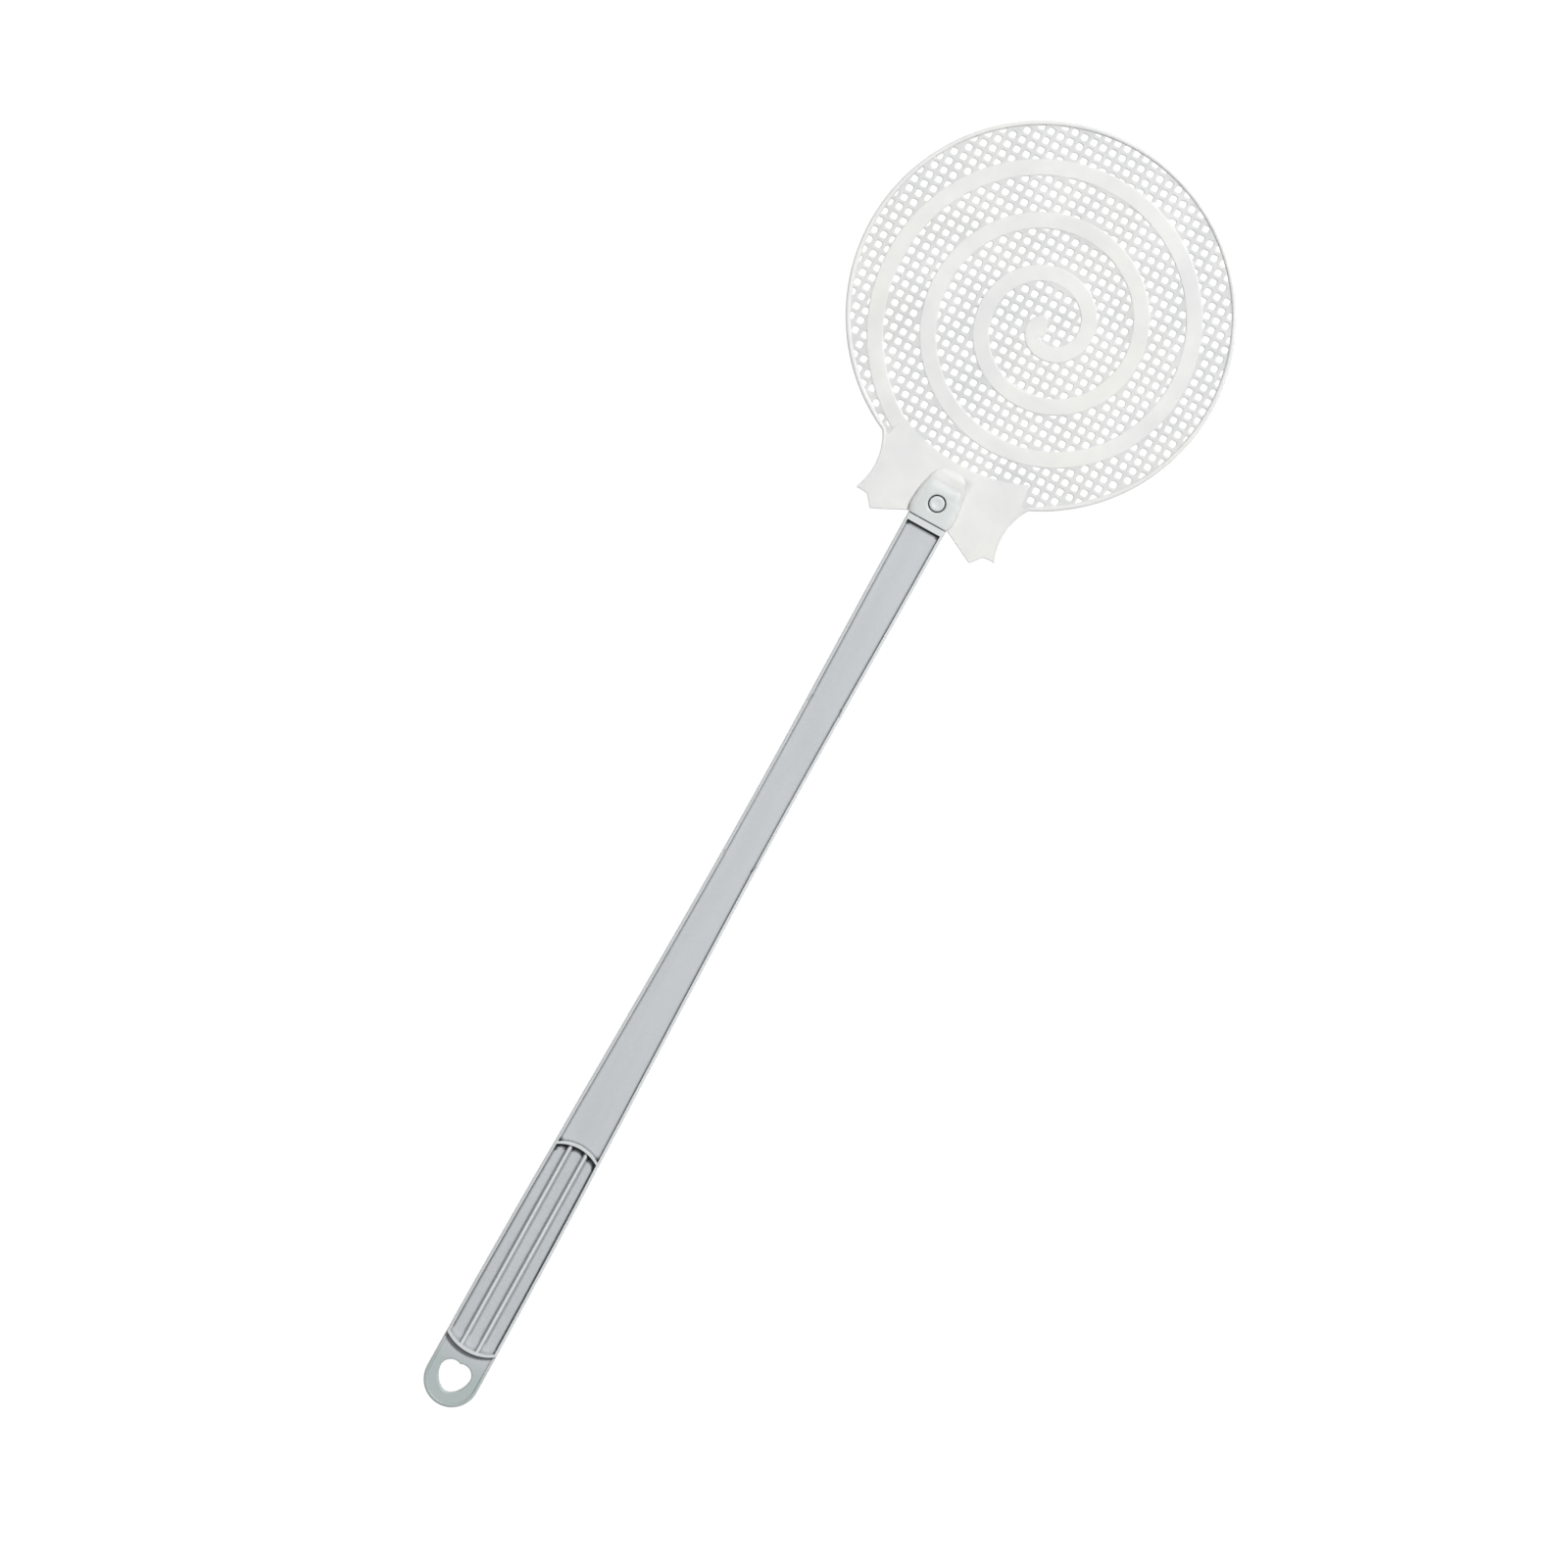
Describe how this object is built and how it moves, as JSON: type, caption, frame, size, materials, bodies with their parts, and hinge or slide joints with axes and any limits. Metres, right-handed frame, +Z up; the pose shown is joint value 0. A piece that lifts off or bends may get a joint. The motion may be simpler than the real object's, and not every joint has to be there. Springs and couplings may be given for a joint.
{
  "type": "fly swatter",
  "caption": "Fly swatter with a round perforated blade, a spiral band and wings, socketed onto a long ribbed handle with a heart-shaped hanging hole.",
  "frame": {"origin": "halfway along the length, on the surface that the swatter lies on", "axes": "lying flat on its back: +Y from the grip to the head, +X to the right seen from above, +Z up out of the face"},
  "size_m": [0.1276, 0.4692, 0.007],
  "materials": {
    "head_plastic": "milky, slightly translucent, satin",
    "handle_plastic": "satin moulded",
    "snap_tab_plastic": "satin moulded"
  },
  "bodies": {
    "handle": {"handle": "handle_plastic"},
    "head": {"head": "head_plastic"},
    "snap_tab": {"snap_tab": "snap_tab_plastic"}
  },
  "joints": [
    {"name": "head_slide", "type": "slide", "parent": "handle", "child": "head", "axis": [0, 1, 0], "range_m": [0, 0.035], "deforming": ["snap_tab"]},
    {"name": "snap_press", "type": "hinge", "parent": "handle", "child": "snap_tab", "pos_m": [0, 0.0938, 0.0045], "axis": [1, 0, 0], "range_deg": [-10.5, 0], "stiffness_Nm_per_rad": 0.5}
  ]
}
